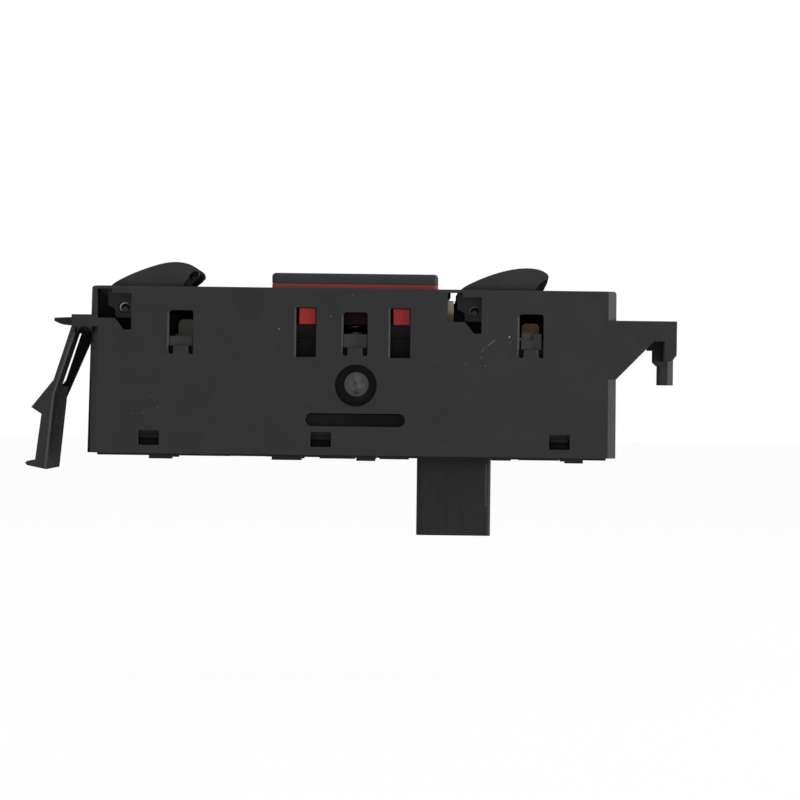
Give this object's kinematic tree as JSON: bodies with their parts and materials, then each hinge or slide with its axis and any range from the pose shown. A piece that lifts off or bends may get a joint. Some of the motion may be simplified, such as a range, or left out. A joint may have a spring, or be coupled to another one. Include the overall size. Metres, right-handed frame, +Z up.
{
  "type": "power window switch",
  "caption": "Console power window switch module with rocking levers, a long push button over a red skirt, clip arm, hook bracket and connector shroud.",
  "frame": {"origin": "middle of the housing length and depth, on the plane of the flange tops that bear up against the console", "axes": "+X along the housing from the clip arm to the hook bracket, +Z up with the levers on top, the wall with the gate mark and long slot on the -Y side"},
  "size_m": [0.1327, 0.026, 0.0555],
  "materials": {
    "housing_black": "fine moulded texture, slightly dusty and scratched",
    "cover_black": "moulded, darker, shroud with fine upright ribs",
    "carrier_black": "plain moulded",
    "lever_black": "soft satin moulded",
    "button_black": "satin moulded",
    "lens_red": "translucent tinted moulding",
    "guide_amber": "translucent brown moulding",
    "spring_steel": "bright drawn and formed",
    "contact_copper": "stamped copper alloy",
    "pad_gold": "gold plated",
    "board_green": "solder mask",
    "pin_tin": "tin plated",
    "header_black": "plain moulded",
    "switch_grey": "plain moulded",
    "plunger_white": "acetal",
    "slider_white": "acetal",
    "lamp_clear": "clear resin",
    "resistor_black": "chip resistor",
    "capacitor_tan": "chip capacitor",
    "chip_black": "moulded epoxy"
  },
  "bodies": {
    "module": {"housing": "housing_black", "base_cover": "cover_black", "switch_carrier": "carrier_black", "left_return_spring": "spring_steel", "right_return_spring": "spring_steel", "button_spring": "spring_steel", "switch_body": "switch_grey", "switch_terminals": "pin_tin", "circuit_board": "board_green", "contact_pads": "pad_gold", "connector_header": "header_black", "connector_pins": "pin_tin", "left_light_guide": "guide_amber", "right_light_guide": "guide_amber", "strip_light_guide": "guide_amber", "left_lamp": "lamp_clear", "right_lamp": "lamp_clear", "button_lamps": "lamp_clear", "resistors": "resistor_black", "capacitors": "capacitor_tan", "control_chip": "chip_black"},
    "left_lever": {"left_lever": "lever_black"},
    "right_lever": {"right_lever": "lever_black"},
    "left_slider": {"left_slider": "slider_white", "left_wiper": "contact_copper"},
    "right_slider": {"right_slider": "slider_white", "right_wiper": "contact_copper"},
    "push_button": {"button_cap": "button_black", "button_lens": "lens_red", "switch_plunger": "plunger_white"}
  },
  "joints": [
    {"name": "left_lever_pivot", "type": "hinge", "parent": "module", "child": "left_lever", "pos_m": [-0.04698, 0, 0.0016], "axis": [0, -1, 0], "range_deg": [-8, 8], "stiffness_Nm_per_rad": 0.3, "deforming": ["left_return_spring"]},
    {"name": "right_lever_pivot", "type": "hinge", "parent": "module", "child": "right_lever", "pos_m": [0.02448, 0, 0.0016], "axis": [0, -1, 0], "range_deg": [-8, 8], "stiffness_Nm_per_rad": 0.3, "deforming": ["right_return_spring"]},
    {"name": "left_slider_travel", "type": "slide", "parent": "module", "child": "left_slider", "axis": [1, 0, 0], "range_m": [-0.0025, 0.0025]},
    {"name": "right_slider_travel", "type": "slide", "parent": "module", "child": "right_slider", "axis": [1, 0, 0], "range_m": [-0.0025, 0.0025]},
    {"name": "button_press", "type": "slide", "parent": "module", "child": "push_button", "axis": [0, 0, 1], "range_m": [-0.0025, 0], "stiffness_N_per_m": 500, "springref_m": 0.002, "deforming": ["button_spring"]}
  ],
  "couplings": [
    {"joint": "left_slider_travel", "follows": "left_lever_pivot", "m_per_rad": 0.01655},
    {"joint": "right_slider_travel", "follows": "right_lever_pivot", "m_per_rad": 0.01655}
  ]
}
